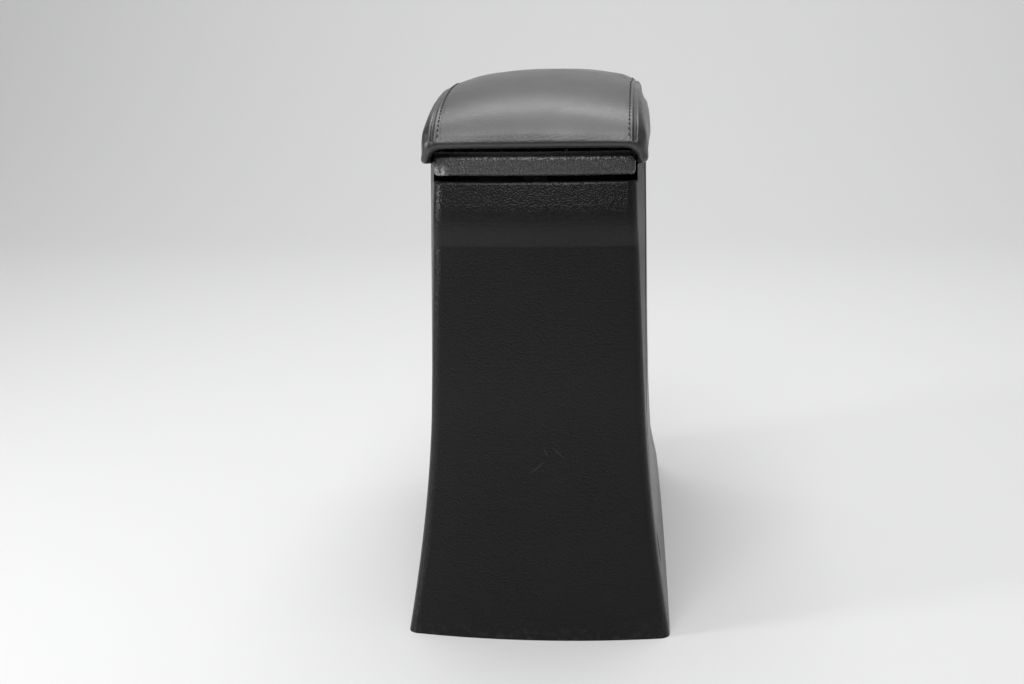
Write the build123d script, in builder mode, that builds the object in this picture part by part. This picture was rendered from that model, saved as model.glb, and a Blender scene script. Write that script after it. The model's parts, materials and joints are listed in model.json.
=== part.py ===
from build123d import *
import math
import os

# Car centre armrest: a flared floor console with a storage bin and a padded, hinged lid.
# Millimetres. +Z up, origin on the floor under the middle, -Y towards the opening end,
# where a release bar sits under the lid's nose. The lid hinges at the +Y end.

# Housing, overall
FOOT_LENGTH = 372.0
PARTING_Z = 284.5
WALL = 2.5
FLARE_POWER = 1.7
FLARE_STEPS = 8
SIDE_BOW = 1.2
SEAM_GAP = 0.5
PART_FIT = 0.3

# Housing, opening end
NEAR_FLARE = 20.0
NEAR_FLARE_TOP = 140.0
NEAR_BOW_TOP = 5.0
NEAR_BOW_FOOT = 8.0
CORNER_TOP_HALF = 58.2
CORNER_FOOT_HALF = 70.3
CORNER_FLARE = 9.8
CORNER_RADIUS = 7.0
RIDGE_Z = 253.0
RIDGE_HEIGHT = 15.0
RIDGE_PROUD = 3.5
RIDGE_UNDERCUT = 0.8
STRIP_TOP_Z = 276.0
STRIP_LEAN = 0.22
RIDGE_ROUND = 9.0
RIDGE_STEPS = 6
EDGE_ROUND = 2.2
EDGE_MATCH = 0.1

# Housing, seam between the end cover and the side panels
SEAM_TOP_HALF = 64.6
SEAM_FOOT_HALF = 66.8
SEAM_FLARE = 13.4
SEAM_FOOT_SETBACK = 24.0
SEAM_LEAN = 0.1
REBATE = 1.0
REBATE_WIDTH = 2.0
TONGUE = 2.0
TONGUE_REACH = 8.0
TONGUE_ROOT = 6.0
TONGUE_BITE = 0.5
TONGUE_MARGIN = 14.0

# Housing, hinge end
FAR_FLARE = 15.0
FAR_FLARE_TOP = 72.0
FAR_STRAIGHT = 14.0
FAR_BOW = 4.0
FAR_TOP_HALF = 59.5
FAR_FOOT_HALF = 63.8
FAR_SIDE_FLARE = 6.8
FAR_RADIUS = 14.0
FAR_SEAM_SETBACK = 46.0

# Storage bin
BIN_SETBACK = 27.0
BIN_FAR_GAP = 10.0
BIN_NEAR_HALF = 50.0
BIN_FAR_HALF = 46.0
BIN_CORNER = 6.0
BIN_FLOOR_Z = 150.0
BIN_FLANGE = 2.5
FLANGE_DROP = 0.5
FLANGE_FIT = 0.4
FLANGE_SETBACK = 17.0
LEDGE_WIDTH = 8.0
LEDGE_HEIGHT = 4.0
BIN_SCREW_MARGIN = 1.0
BIN_SCREW_SHARES = (0.2, 0.5, 0.8)
MAT_THICKNESS = 2.0
MAT_FIT = 0.4

# Lid
LID_OVERHANG = 4.0
LID_NEAR_HALF = 67.6
LID_FAR_HALF = 62.5
LID_FAR_SETBACK = 18.0
LID_GAP = 1.0
LID_NEAR_CORNER = 12.0
LID_FAR_CORNER = 18.0
CROWN_NEAR_Z = 340.0
CROWN_FAR_Z = 327.0
CROWN = 7.0
NOSE_LENGTH = 97.0
NOSE_TURN = 86.0
NOSE_STEPS = 9
NOSE_CURL = 8.0
BODY_STEPS = 7
BODY_SPACING = 1.5
TAIL_LENGTH = 34.0
TAIL_DROP = 20.0
TAIL_LEAD = 1.5
PLAN_EASE = 0.3
SIDE_CURL = 4.0
SIDE_BULGE_Z = 12.0
SHOULDER = 7.6
SHOULDER_LEAN = 2.2
SHOULDER_DROP = 7.6
SHOULDER_PUFF = (3.3, 1.4)
SIDE_CURL_RISE = 0.6
PAD_SEAM_NEAR_HALF = 58.8
PAD_SEAM_FAR_HALF = 54.5
LEATHER = 1.2
FOAM_SIDE = 3.4
TRAY_Z = 296.5
TRAY_PLATE = 3.5
SKIRT = 2.5
LEATHER_WRAP = 10.0
INNER_COVER = 3.0
INNER_COVER_SETBACK = 28.0
INNER_COVER_FIT = 0.6
LID_SCREW_SPREAD = 0.85
LID_SCREW_SHARES = (0.06, 0.5, 0.94)
BUMPER_RADIUS = 3.5
BUMPER_MARGIN = 1.0
BUMPER_NEAR_SETBACK = 42.0
BUMPER_FAR_SETBACK = 90.0

# Lid hinge
HINGE_Z = 286.0
HINGE_HALF = 45.0
HINGE_SHEET = 2.0
HINGE_OUT = 2.0
BARREL_RADIUS = 4.5
PIN_RADIUS = 2.5
PIN_CLEARANCE = 0.05
KNUCKLES = 5
KNUCKLE_GAP = 0.4
HINGE_NOTCH_GAP = 1.5
BRACKET_DROP = 40.0
BRACKET_HOLE_SPREAD = 0.7
BRACKET_HOLE_SHARES = (0.5, 0.85)
LEAF_LENGTH = 34.0
LEAF_JOGGLE = 2.0
LEAF_HOLE_SPREAD = 0.75
LEAF_HOLE_SHARES = (0.25, 0.7)
PIN_HEAD = 1.0

# Release bar and its latch
BAR_HALF = 59.0
BAR_DEPTH = 10.0
BAR_TOP_Z = 291.1
BAR_BOTTOM_Z = 279.3
BAR_ROUND = 2.8
BAR_END_GAP = 1.2
BAR_LIP = 4.0
BAR_LIP_Z = 293.0
PIVOT_SETBACK = 18.5
PIVOT_Z = 290.0
PIVOT_RADIUS = 2.0
EAR_X = 40.0
EAR_WIDTH = 6.0
EAR_RADIUS = 4.0
LUG_WIDTH = 4.0
LUG_GAP = 0.4
STEM_HALF = 7.0
STEM_SETBACK = 18.0
STEM_THICKNESS = 3.0
STEM_ARM_TOP_Z = 285.5
STEM_ARM_BOTTOM_Z = 280.5
TOOTH_REACH = 3.5
TOOTH_HEIGHT = 5.7
TOOTH_NOSE = 1.2
CATCH_Z = 268.0
CATCH_SHEET = 1.0
CATCH_LIP = 4.0
CATCH_HALF = 10.0
CATCH_DROP = 17.0
CATCH_CLEARANCE = 0.3
HOOK_SLOT_GAP = 2.0
SPRING_WIRE = 0.9
SPRING_KNEE = 0.5
SPRING_RADIUS = 3.5
SPRING_PITCH = 1.4
SPRING_TURNS = 5
SPRING_X = 12.0
SPRING_TRAY_LEG = 6.0
SPRING_BAR_LEG = 10.0

# Base frame on the floor and the side screws that hold the console to it
FRAME_SHEET = 2.0
FRAME_HALF = 54.0
FRAME_NEAR_SETBACK = 34.0
FRAME_FAR_SETBACK = 58.0
FRAME_FLANGE_Z = 62.0
FRAME_RAIL = 26.0
BOLT_HOLE_RADIUS = 4.25
BOLT_SPAN_X = 80.0
BOLT_SPAN_Y = 230.0
POCKET_NEAR_SETBACK = 47.0
POCKET_FAR_SETBACK = 76.0
POCKET_Z = 44.0
POCKET_HEIGHT = 20.0
POCKET_WIDTH = 12.0
POCKET_WALL = 2.0
POCKET_FLOOR = 3.0
SIDE_SCREW_RADIUS = 3.0
SIDE_SCREW_LENGTH = 12.0
SIDE_HEAD_RADIUS = 5.2
SIDE_HEAD = 3.5

# Small screws
SCREW_RADIUS = 1.7
SCREW_HEAD_RADIUS = 3.4
SCREW_HEAD = 2.0
SCREW_CLEARANCE = 0.1
SCREW_BITE = 0.9

# Places worked out from the sizes above
NEAR_FOOT_Y = -FOOT_LENGTH / 2
FAR_FOOT_Y = FOOT_LENGTH / 2
FACE_Y = NEAR_FOOT_Y + NEAR_FLARE
FAR_FACE_Y = FAR_FOOT_Y - FAR_FLARE
RIDGE_BASE_Z = RIDGE_Z - RIDGE_HEIGHT
BIN_NEAR_Y = FACE_Y + BIN_SETBACK
BIN_FAR_Y = FAR_FACE_Y - BIN_FAR_GAP
FLANGE_TOP_Z = PARTING_Z - FLANGE_DROP
FLANGE_Z = FLANGE_TOP_Z - BIN_FLANGE
LID_NEAR_Y = FACE_Y - LID_OVERHANG
LID_FAR_Y = FAR_FOOT_Y - LID_FAR_SETBACK
LID_BOTTOM_Z = PARTING_Z + LID_GAP
BULGE_Z = LID_BOTTOM_Z + SIDE_BULGE_Z
NOSE_Y = LID_NEAR_Y + NOSE_LENGTH
TRAY_INSET = LEATHER + FOAM_SIDE
SKIRT_INSET = TRAY_INSET + SKIRT
INNER_COVER_Z = TRAY_Z - INNER_COVER
HINGE_Y = FAR_FACE_Y + HINGE_OUT
PIVOT_Y = FACE_Y + PIVOT_SETBACK
STEM_Y = FACE_Y + STEM_SETBACK
FRAME_NEAR_Y = NEAR_FOOT_Y + FRAME_NEAR_SETBACK
FRAME_FAR_Y = FAR_FOOT_Y - FRAME_FAR_SETBACK
FAR_SEAM_Y = FAR_FOOT_Y - FAR_SEAM_SETBACK
POCKET_PLACES = [
    (NEAR_FOOT_Y + POCKET_NEAR_SETBACK, POCKET_Z),
    (FAR_FOOT_Y - POCKET_FAR_SETBACK, POCKET_Z),
]
BIG = 2 * FOOT_LENGTH
UP = (0, 0, 1)


def flare(z, top, straight=0.0):
    """Share of a foot flare left at height z: 1 up to its straight foot, 0 from top upwards."""
    return (max(top - max(z, straight), 0.0) / (top - straight)) ** FLARE_POWER


def between(low, high, share):
    return low + (high - low) * share


def near_y(z):
    """The end cover's face on the middle line."""
    upright = NEAR_FOOT_Y + NEAR_FLARE * (1 - flare(z, NEAR_FLARE_TOP))
    if z <= RIDGE_BASE_Z:
        return upright + RIDGE_UNDERCUT * max(z - NEAR_FLARE_TOP, 0) / (RIDGE_BASE_Z - NEAR_FLARE_TOP)
    above = z - RIDGE_Z
    rise = -(RIDGE_PROUD + RIDGE_UNDERCUT) / RIDGE_HEIGHT
    if above > RIDGE_ROUND:
        return upright - RIDGE_PROUD + STRIP_LEAN * above
    turn = max(above + RIDGE_ROUND, 0) ** 2 / (4 * RIDGE_ROUND)
    return upright - RIDGE_PROUD + rise * above + (STRIP_LEAN - rise) * turn


def far_y(z):
    return FAR_FOOT_Y - FAR_FLARE * (1 - flare(z, FAR_FLARE_TOP, FAR_STRAIGHT))


def corner_half(z):
    upright = between(CORNER_FOOT_HALF, CORNER_TOP_HALF, z / PARTING_Z)
    return upright + CORNER_FLARE * flare(z, NEAR_FLARE_TOP)


def seam_half(z):
    upright = between(SEAM_FOOT_HALF, SEAM_TOP_HALF, z / PARTING_Z)
    return upright + SEAM_FLARE * flare(z, NEAR_FLARE_TOP)


def far_half(z):
    upright = between(FAR_FOOT_HALF, FAR_TOP_HALF, z / PARTING_Z)
    return upright + FAR_SIDE_FLARE * flare(z, FAR_FLARE_TOP, FAR_STRAIGHT)


def seam_y(z):
    return NEAR_FOOT_Y + SEAM_FOOT_SETBACK + SEAM_LEAN * z


def side_half(y, z):
    """Half width of the side panels at y, on the straight line from seam to far corner."""
    share = (y - seam_y(z)) / (far_y(z) - FAR_BOW - seam_y(z))
    return between(seam_half(z), far_half(z), share)


def housing_outline(z, inset=0.0):
    """Plan outline of the housing at height z, moved inwards by inset."""
    bow = between(NEAR_BOW_TOP, NEAR_BOW_FOOT, flare(z, NEAR_FLARE_TOP))
    corner = (corner_half(z) - inset, near_y(z) + bow + inset)
    seam = (seam_half(z) - inset, seam_y(z))
    far = (far_half(z) - inset, far_y(z) - FAR_BOW - inset)
    side = ((seam[0] + far[0]) / 2 + SIDE_BOW, (seam[1] + far[1]) / 2)
    with BuildSketch(Plane.XY.offset(z)) as outline:
        with BuildLine():
            ThreePointArc((-corner[0], corner[1]), (0, near_y(z) + inset), corner)
            Line(corner, seam)
            ThreePointArc(seam, side, far)
            ThreePointArc(far, (0, far_y(z) - inset), (-far[0], far[1]))
            ThreePointArc((-far[0], far[1]), (-side[0], side[1]), (-seam[0], seam[1]))
            Line((-seam[0], seam[1]), (-corner[0], corner[1]))
        make_face()
        corners = outline.vertices().group_by(Axis.Y)
        fillet(corners[0], radius=CORNER_RADIUS - inset / 2)
        fillet(outline.vertices().group_by(Axis.Y)[-1], radius=FAR_RADIUS - inset)
    return outline.sketch


def housing_form(inset):
    """The whole housing as a solid, moved inwards by inset."""
    flared = [housing_outline(NEAR_FLARE_TOP * i / FLARE_STEPS, inset) for i in range(FLARE_STEPS + 1)]
    turns = [RIDGE_Z + RIDGE_ROUND * (2 * i / RIDGE_STEPS - 1) for i in range(RIDGE_STEPS + 1)]
    upright = [housing_outline(z, inset) for z in [NEAR_FLARE_TOP, RIDGE_BASE_Z, *turns, PARTING_Z]]
    with BuildPart() as form:
        loft(sections=flared)
        loft(sections=upright, ruled=True)
    return form.part


def bin_half(y):
    return between(BIN_NEAR_HALF, BIN_FAR_HALF, (y - BIN_NEAR_Y) / (BIN_FAR_Y - BIN_NEAR_Y))


def bin_outline(z, inset=0.0):
    near = bin_half(BIN_NEAR_Y) - inset
    far = bin_half(BIN_FAR_Y) - inset
    with BuildSketch(Plane.XY.offset(z)) as outline:
        with BuildLine():
            Polyline((-near, BIN_NEAR_Y + inset), (near, BIN_NEAR_Y + inset), (far, BIN_FAR_Y - inset),
                     (-far, BIN_FAR_Y - inset), close=True)
        make_face()
        fillet(outline.vertices(), radius=BIN_CORNER - inset)
    return outline.sketch


def lid_half(y):
    return between(LID_NEAR_HALF, LID_FAR_HALF, (y - LID_NEAR_Y) / (LID_FAR_Y - LID_NEAR_Y))


def crown_z(y):
    return between(CROWN_NEAR_Z, CROWN_FAR_Z, (y - LID_NEAR_Y) / (LID_FAR_Y - LID_NEAR_Y))


def lid_outline(z, inset=0.0, sharp=False):
    """Plan outline of the lid at height z, moved inwards by inset."""
    near = lid_half(LID_NEAR_Y) - inset
    far = lid_half(LID_FAR_Y) - inset
    with BuildSketch(Plane.XY.offset(z)) as outline:
        with BuildLine():
            Polyline((-near, LID_NEAR_Y + inset), (near, LID_NEAR_Y + inset), (far, LID_FAR_Y - inset),
                     (-far, LID_FAR_Y - inset), close=True)
        make_face()
        if not sharp:
            fillet(outline.vertices().group_by(Axis.Y)[0], radius=LID_NEAR_CORNER - inset)
            fillet(outline.vertices().group_by(Axis.Y)[-1], radius=LID_FAR_CORNER - inset)
    return outline.sketch


def lid_section(y, inset, rise=1.0):
    """Cross section of the padded lid at y: bulging sides and a crowned top, at a share of its full rise."""
    half = lid_half(y) - inset
    bottom = LID_BOTTOM_Z + inset
    full = crown_z(max(y, NOSE_Y)) - inset - BULGE_Z
    top = BULGE_Z + rise * full
    edge = (half - SHOULDER, BULGE_Z + rise * (full - CROWN))
    shoulder = (half - SHOULDER_LEAN, BULGE_Z + rise * (full - CROWN - SHOULDER_DROP))
    side = (half, (BULGE_Z + shoulder[1]) / 2)
    puff = ((shoulder[0] + edge[0]) / 2 + SHOULDER_PUFF[0],
            (shoulder[1] + edge[1]) / 2 + rise * SHOULDER_PUFF[1])
    with BuildSketch(Plane(origin=(0, y, 0), x_dir=(1, 0, 0), z_dir=(0, -1, 0))) as section:
        with BuildLine():
            Line((SIDE_CURL - half, bottom), (half - SIDE_CURL, bottom))
            TangentArc((half - SIDE_CURL, bottom), (half, BULGE_Z), tangent=(1, SIDE_CURL_RISE))
            Bezier((half, BULGE_Z), side, shoulder)
            Bezier(shoulder, puff, edge)
            Bezier(edge, (0, 2 * top - edge[1]), (-edge[0], edge[1]))
            Bezier((-edge[0], edge[1]), (-puff[0], puff[1]), (-shoulder[0], shoulder[1]))
            Bezier((-shoulder[0], shoulder[1]), (-side[0], side[1]), (-half, BULGE_Z))
            TangentArc((SIDE_CURL - half, bottom), (-half, BULGE_Z), tangent=(-1, SIDE_CURL_RISE))
        make_face()
    return section.sketch


def lid_form(inset):
    """The padded lid as a solid, moved inwards by inset: long nose, short tail, rounded plan."""
    turns = [math.radians(NOSE_TURN) * (1 - i / NOSE_STEPS) for i in range(NOSE_STEPS + 1)]
    nose = [lid_section(NOSE_Y - (NOSE_LENGTH - inset) * math.sin(a), inset, math.cos(a)) for a in turns]
    shares = [((i + 1) / BODY_STEPS) ** BODY_SPACING for i in range(BODY_STEPS)]
    body = [lid_section(between(NOSE_Y, LID_FAR_Y, share), inset) for share in shares]
    plan = lid_outline(LID_BOTTOM_Z, inset - PLAN_EASE)
    near = LID_NEAR_Y + inset
    far = LID_FAR_Y - inset
    tail_y = LID_FAR_Y - TAIL_LENGTH
    tail_low = crown_z(tail_y) - inset - TAIL_DROP
    tail_top = tail_low + TAIL_DROP + TAIL_LEAD
    bottom = LID_BOTTOM_Z + inset
    with BuildSketch(Plane.YZ) as profile:
        with BuildLine():
            Polyline((near, BULGE_Z), (near, CROWN_NEAR_Z), (tail_y, CROWN_NEAR_Z), (tail_y, tail_top))
            EllipticalCenterArc((tail_y, tail_low), TAIL_LENGTH - inset, tail_top - tail_low)
            Polyline((far, tail_low), (far, bottom), (near + NOSE_CURL, bottom))
            TangentArc((near, BULGE_Z), (near + NOSE_CURL, bottom), tangent=(0, -1))
        make_face()
    with BuildPart() as form:
        loft(sections=nose + body)
        extrude(profile.sketch, amount=BIG, both=True, mode=Mode.INTERSECT)
        extrude(plan, amount=BIG, mode=Mode.INTERSECT)
    return form.part


def lid_hollow(top):
    """The open space under the lid between the tray's skirts, through both ends, up to top."""
    near = lid_half(LID_NEAR_Y) - SKIRT_INSET
    far = lid_half(LID_FAR_Y) - SKIRT_INSET
    reach = LID_NEAR_HALF
    with BuildPart() as hollow:
        with BuildSketch(Plane.XY.offset(LID_BOTTOM_Z - reach)):
            with BuildLine():
                Polyline((-near, LID_NEAR_Y - reach), (near, LID_NEAR_Y - reach), (near, LID_NEAR_Y),
                         (far, LID_FAR_Y), (far, LID_FAR_Y + reach), (-far, LID_FAR_Y + reach),
                         (-far, LID_FAR_Y), (-near, LID_NEAR_Y), close=True)
            make_face()
        extrude(amount=top - LID_BOTTOM_Z + reach)
    return hollow.part


def pan_screw(head_radius, head, radius, length):
    """A pan-head screw with its head above the origin and its shank down -Z."""
    with BuildPart() as screw:
        with BuildSketch(Plane.XZ):
            with BuildLine():
                Polyline((0, head), (0, -length), (radius, -length), (radius, 0), (head_radius, 0),
                         (head_radius, head / 2), (head_radius - head / 2, head), close=True)
            make_face()
        revolve(axis=Axis.Z)
    return screw.part


def flush_screw(length, clearance=0.0):
    """A countersunk screw with the top of its head at the origin and its shank down -Z."""
    radius = SCREW_RADIUS + clearance
    head_radius = SCREW_HEAD_RADIUS + clearance
    with BuildPart() as screw:
        with BuildSketch(Plane.XZ):
            with BuildLine():
                Polyline((0, -length), (radius, -length), (radius, -SCREW_HEAD), (head_radius, 0), (0, 0),
                         close=True)
            make_face()
        revolve(axis=Axis.Z)
    return screw.part


os.makedirs("parts", exist_ok=True)

SEAM_PLANE = Plane(origin=(0, seam_y(0), 0), x_dir=(1, 0, 0), z_dir=(0, 1, -SEAM_LEAN))
FAR_SEAM_PLANE = Plane(origin=(0, FAR_SEAM_Y, 0), x_dir=(1, 0, 0), z_dir=(0, 1, 0))
HOUSING_OUTER = housing_form(0)
HOUSING_INNER = housing_form(WALL)
TONGUE_OUTER = housing_form(WALL + PART_FIT)
TONGUE_INNER = housing_form(WALL + PART_FIT + TONGUE)
TONGUE_ROOT_OUTER = housing_form(WALL - TONGUE_BITE)


def tongue_ring(outer, first, last):
    """A band of the inner lining between two planes, clear of the floor and the bin flange."""
    with BuildPart() as ring:
        add(outer)
        add(TONGUE_INNER, mode=Mode.SUBTRACT)
        split(bisect_by=first, keep=Keep.TOP)
        split(bisect_by=last, keep=Keep.BOTTOM)
        split(bisect_by=Plane.XY.offset(TONGUE_MARGIN), keep=Keep.TOP)
        split(bisect_by=Plane.XY.offset(FLANGE_Z - LEDGE_HEIGHT - TONGUE_MARGIN), keep=Keep.BOTTOM)
    return ring.part


# End cover: the flared panel at the opening end, with its side returns
NOTCH_HALF = BAR_HALF + BAR_END_GAP
NEAR_ROOT = tongue_ring(TONGUE_ROOT_OUTER, SEAM_PLANE.offset(-TONGUE_ROOT), SEAM_PLANE.offset(-SEAM_GAP / 2))
NEAR_TONGUE = tongue_ring(TONGUE_OUTER, SEAM_PLANE.offset(-SEAM_GAP / 2), SEAM_PLANE.offset(TONGUE_REACH))
REBATE_FORM = housing_form(REBATE)
with BuildPart() as seam_rebate:
    add(HOUSING_OUTER)
    add(REBATE_FORM, mode=Mode.SUBTRACT)
    split(bisect_by=SEAM_PLANE.offset(-SEAM_GAP / 2 - REBATE_WIDTH), keep=Keep.TOP)
    split(bisect_by=SEAM_PLANE, keep=Keep.BOTTOM)
with BuildPart() as end_cover:
    add(HOUSING_OUTER)
    add(HOUSING_INNER, mode=Mode.SUBTRACT)
    split(bisect_by=SEAM_PLANE.offset(-SEAM_GAP / 2), keep=Keep.BOTTOM)
    with Locations((0, FACE_Y, STRIP_TOP_Z)):
        Box(2 * NOTCH_HALF, 2 * BIN_SETBACK, PARTING_Z, align=(Align.CENTER, Align.CENTER, Align.MIN),
            mode=Mode.SUBTRACT)
    lip = [e for e in end_cover.edges() if abs(e.center().Z - STRIP_TOP_Z) < EDGE_MATCH]
    fillet(ShapeList(lip).filter_by(GeomType.LINE, reverse=True).sort_by(Axis.Y)[0], radius=EDGE_ROUND)
    add(seam_rebate.part, mode=Mode.SUBTRACT)
    add(NEAR_ROOT)
    add(NEAR_TONGUE)
end_cover.part.label = "end_cover"
export_step(end_cover.part, "parts/end_cover.step")

# Far cover: the plainer panel at the hinge end, notched for the hinge barrel
HINGE_NOTCH_Z = HINGE_Z - BARREL_RADIUS - HINGE_NOTCH_GAP
FAR_ROOT = tongue_ring(TONGUE_ROOT_OUTER, FAR_SEAM_PLANE.offset(SEAM_GAP / 2),
                       FAR_SEAM_PLANE.offset(TONGUE_ROOT))
FAR_TONGUE = tongue_ring(TONGUE_OUTER, FAR_SEAM_PLANE.offset(-TONGUE_REACH),
                         FAR_SEAM_PLANE.offset(SEAM_GAP / 2))
with BuildPart() as far_cover:
    add(HOUSING_OUTER)
    add(HOUSING_INNER, mode=Mode.SUBTRACT)
    split(bisect_by=FAR_SEAM_PLANE.offset(SEAM_GAP / 2), keep=Keep.TOP)
    with Locations((0, HINGE_Y, HINGE_NOTCH_Z)):
        Box(2 * (HINGE_HALF + HINGE_NOTCH_GAP), 2 * BIN_FAR_GAP, PARTING_Z,
            align=(Align.CENTER, Align.CENTER, Align.MIN), mode=Mode.SUBTRACT)
    add(FAR_ROOT)
    add(FAR_TONGUE)
far_cover.part.label = "far_cover"
export_step(far_cover.part, "parts/far_cover.step")

# Side panels: flared walls with a ledge for the bin and a deep pocket for each side screw
LEDGE_OUTER = housing_outline(FLANGE_Z - LEDGE_HEIGHT, WALL - TONGUE_BITE)
LEDGE_INNER = housing_outline(FLANGE_Z - LEDGE_HEIGHT, WALL + LEDGE_WIDTH)
BIN_SCREW_YS = [between(BIN_NEAR_Y, BIN_FAR_Y, share) for share in BIN_SCREW_SHARES]


def ledge_x(y):
    """Line of the screws that hold the bin flange to its ledge, with room for their heads."""
    flange_edge = side_half(y, FLANGE_Z) - WALL - FLANGE_FIT
    return flange_edge - SCREW_HEAD_RADIUS - SCREW_CLEARANCE - BIN_SCREW_MARGIN


with BuildPart() as side_shell:
    add(HOUSING_OUTER)
    add(HOUSING_INNER, mode=Mode.SUBTRACT)
    split(bisect_by=SEAM_PLANE.offset(SEAM_GAP / 2), keep=Keep.TOP)
    split(bisect_by=FAR_SEAM_PLANE.offset(-SEAM_GAP / 2), keep=Keep.BOTTOM)
    split(bisect_by=Plane.YZ, keep=Keep.TOP)
with BuildPart() as ledge:
    extrude(LEDGE_OUTER, amount=LEDGE_HEIGHT, dir=UP)
    extrude(LEDGE_INNER, amount=LEDGE_HEIGHT, dir=UP, mode=Mode.SUBTRACT)
    split(bisect_by=SEAM_PLANE.offset(SEAM_GAP / 2), keep=Keep.TOP)
    split(bisect_by=FAR_SEAM_PLANE.offset(-SEAM_GAP / 2), keep=Keep.BOTTOM)
    split(bisect_by=Plane.YZ, keep=Keep.TOP)
with BuildPart() as pocket_cups:
    with BuildSketch(Plane.YZ.offset(FRAME_HALF)):
        with Locations(*POCKET_PLACES):
            SlotOverall(POCKET_HEIGHT + 2 * POCKET_WALL, POCKET_WIDTH + 2 * POCKET_WALL, rotation=90)
    extrude(amount=SEAM_FOOT_HALF)
    add(HOUSING_OUTER, mode=Mode.INTERSECT)
with BuildPart() as side_panel_right:
    add(side_shell.part)
    add(ledge.part)
    add(pocket_cups.part)
    with BuildSketch(Plane.YZ.offset(FRAME_HALF + POCKET_FLOOR)):
        with Locations(*POCKET_PLACES):
            SlotOverall(POCKET_HEIGHT, POCKET_WIDTH, rotation=90)
    extrude(amount=SEAM_FOOT_HALF, mode=Mode.SUBTRACT)
    with BuildSketch(Plane.YZ.offset(FRAME_HALF)):
        with Locations(*POCKET_PLACES):
            Circle(SIDE_SCREW_RADIUS + SCREW_CLEARANCE)
    extrude(amount=POCKET_FLOOR, mode=Mode.SUBTRACT)
    with BuildSketch(Plane.XY.offset(FLANGE_Z)):
        with Locations(*[(ledge_x(y), y) for y in BIN_SCREW_YS]):
            Circle(SCREW_RADIUS + SCREW_CLEARANCE)
    extrude(amount=-LEDGE_HEIGHT, mode=Mode.SUBTRACT)
side_panel_right.part.label = "side_panel_right"
export_step(side_panel_right.part, "parts/side_panel_right.step")

with BuildPart() as side_panel_left:
    add(side_panel_right.part)
    mirror(about=Plane.YZ, mode=Mode.REPLACE)
side_panel_left.part.label = "side_panel_left"
export_step(side_panel_left.part, "parts/side_panel_left.step")

# Storage bin: a deep box hung by its flange on the side ledges
FLANGE_PLAN = housing_outline(FLANGE_Z, WALL + FLANGE_FIT)
BIN_OUTER = bin_outline(BIN_FLOOR_Z)
BIN_CAVITY = bin_outline(BIN_FLOOR_Z + WALL, WALL)
FLANGE_NEAR_Y = FACE_Y + FLANGE_SETBACK
BRACKET_HOLES = [(side * HINGE_HALF * BRACKET_HOLE_SPREAD, HINGE_Z - BRACKET_DROP * share)
                 for side in (-1, 1) for share in BRACKET_HOLE_SHARES]
CATCH_RIVETS = [(x, CATCH_Z - CATCH_DROP + 2 * SCREW_RADIUS) for x in (-CATCH_HALF / 2, CATCH_HALF / 2)]
BIN_SCREW_PLACES = [(side * ledge_x(y), y, FLANGE_TOP_Z) for y in BIN_SCREW_YS for side in (-1, 1)]
BIN_SCREW_LENGTH = BIN_FLANGE + SCREW_BITE * LEDGE_HEIGHT
BIN_SCREW = flush_screw(BIN_SCREW_LENGTH)
BIN_SCREW_ROOM = flush_screw(BIN_SCREW_LENGTH, SCREW_CLEARANCE)
with BuildPart() as storage_bin:
    extrude(BIN_OUTER, amount=FLANGE_TOP_Z - BIN_FLOOR_Z)
    extrude(FLANGE_PLAN, amount=BIN_FLANGE, dir=UP)
    extrude(BIN_CAVITY, amount=BIG, mode=Mode.SUBTRACT)
    with Locations((0, FLANGE_NEAR_Y, 0)):
        Box(BIG, BIG, BIG, align=(Align.CENTER, Align.MAX, Align.CENTER), mode=Mode.SUBTRACT)
    with Locations((0, BIN_NEAR_Y - CATCH_SHEET, FLANGE_Z)):
        Box(2 * (STEM_HALF + HOOK_SLOT_GAP), BIG, BIN_FLANGE, align=(Align.CENTER, Align.MAX, Align.MIN),
            mode=Mode.SUBTRACT)
    with Locations((0, BIN_FAR_Y, FLANGE_Z)):
        Box(2 * (HINGE_HALF + HINGE_NOTCH_GAP), BIG, BIN_FLANGE, align=(Align.CENTER, Align.MIN, Align.MIN),
            mode=Mode.SUBTRACT)
    with Locations(*BIN_SCREW_PLACES):
        add(BIN_SCREW_ROOM, mode=Mode.SUBTRACT)
    with BuildSketch(Plane.XZ.offset(-BIN_FAR_Y)):
        with Locations(*BRACKET_HOLES):
            Circle(SCREW_RADIUS + SCREW_CLEARANCE)
    extrude(amount=WALL, mode=Mode.SUBTRACT)
    with BuildSketch(Plane.XZ.offset(-BIN_NEAR_Y)):
        with Locations(*CATCH_RIVETS):
            Circle(SCREW_RADIUS + SCREW_CLEARANCE)
    extrude(amount=-WALL, mode=Mode.SUBTRACT)
storage_bin.part.label = "storage_bin"
export_step(storage_bin.part, "parts/storage_bin.step")

MAT_PLAN = bin_outline(BIN_FLOOR_Z + WALL, WALL + MAT_FIT)
with BuildPart() as bin_mat:
    extrude(MAT_PLAN, amount=MAT_THICKNESS)
bin_mat.part.label = "bin_mat"
export_step(bin_mat.part, "parts/bin_mat.step")

with BuildPart() as bin_screws:
    with Locations(*BIN_SCREW_PLACES):
        add(BIN_SCREW)
bin_screws.part.label = "bin_screws"
export_step(bin_screws.part, "parts/bin_screws.step")

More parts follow.
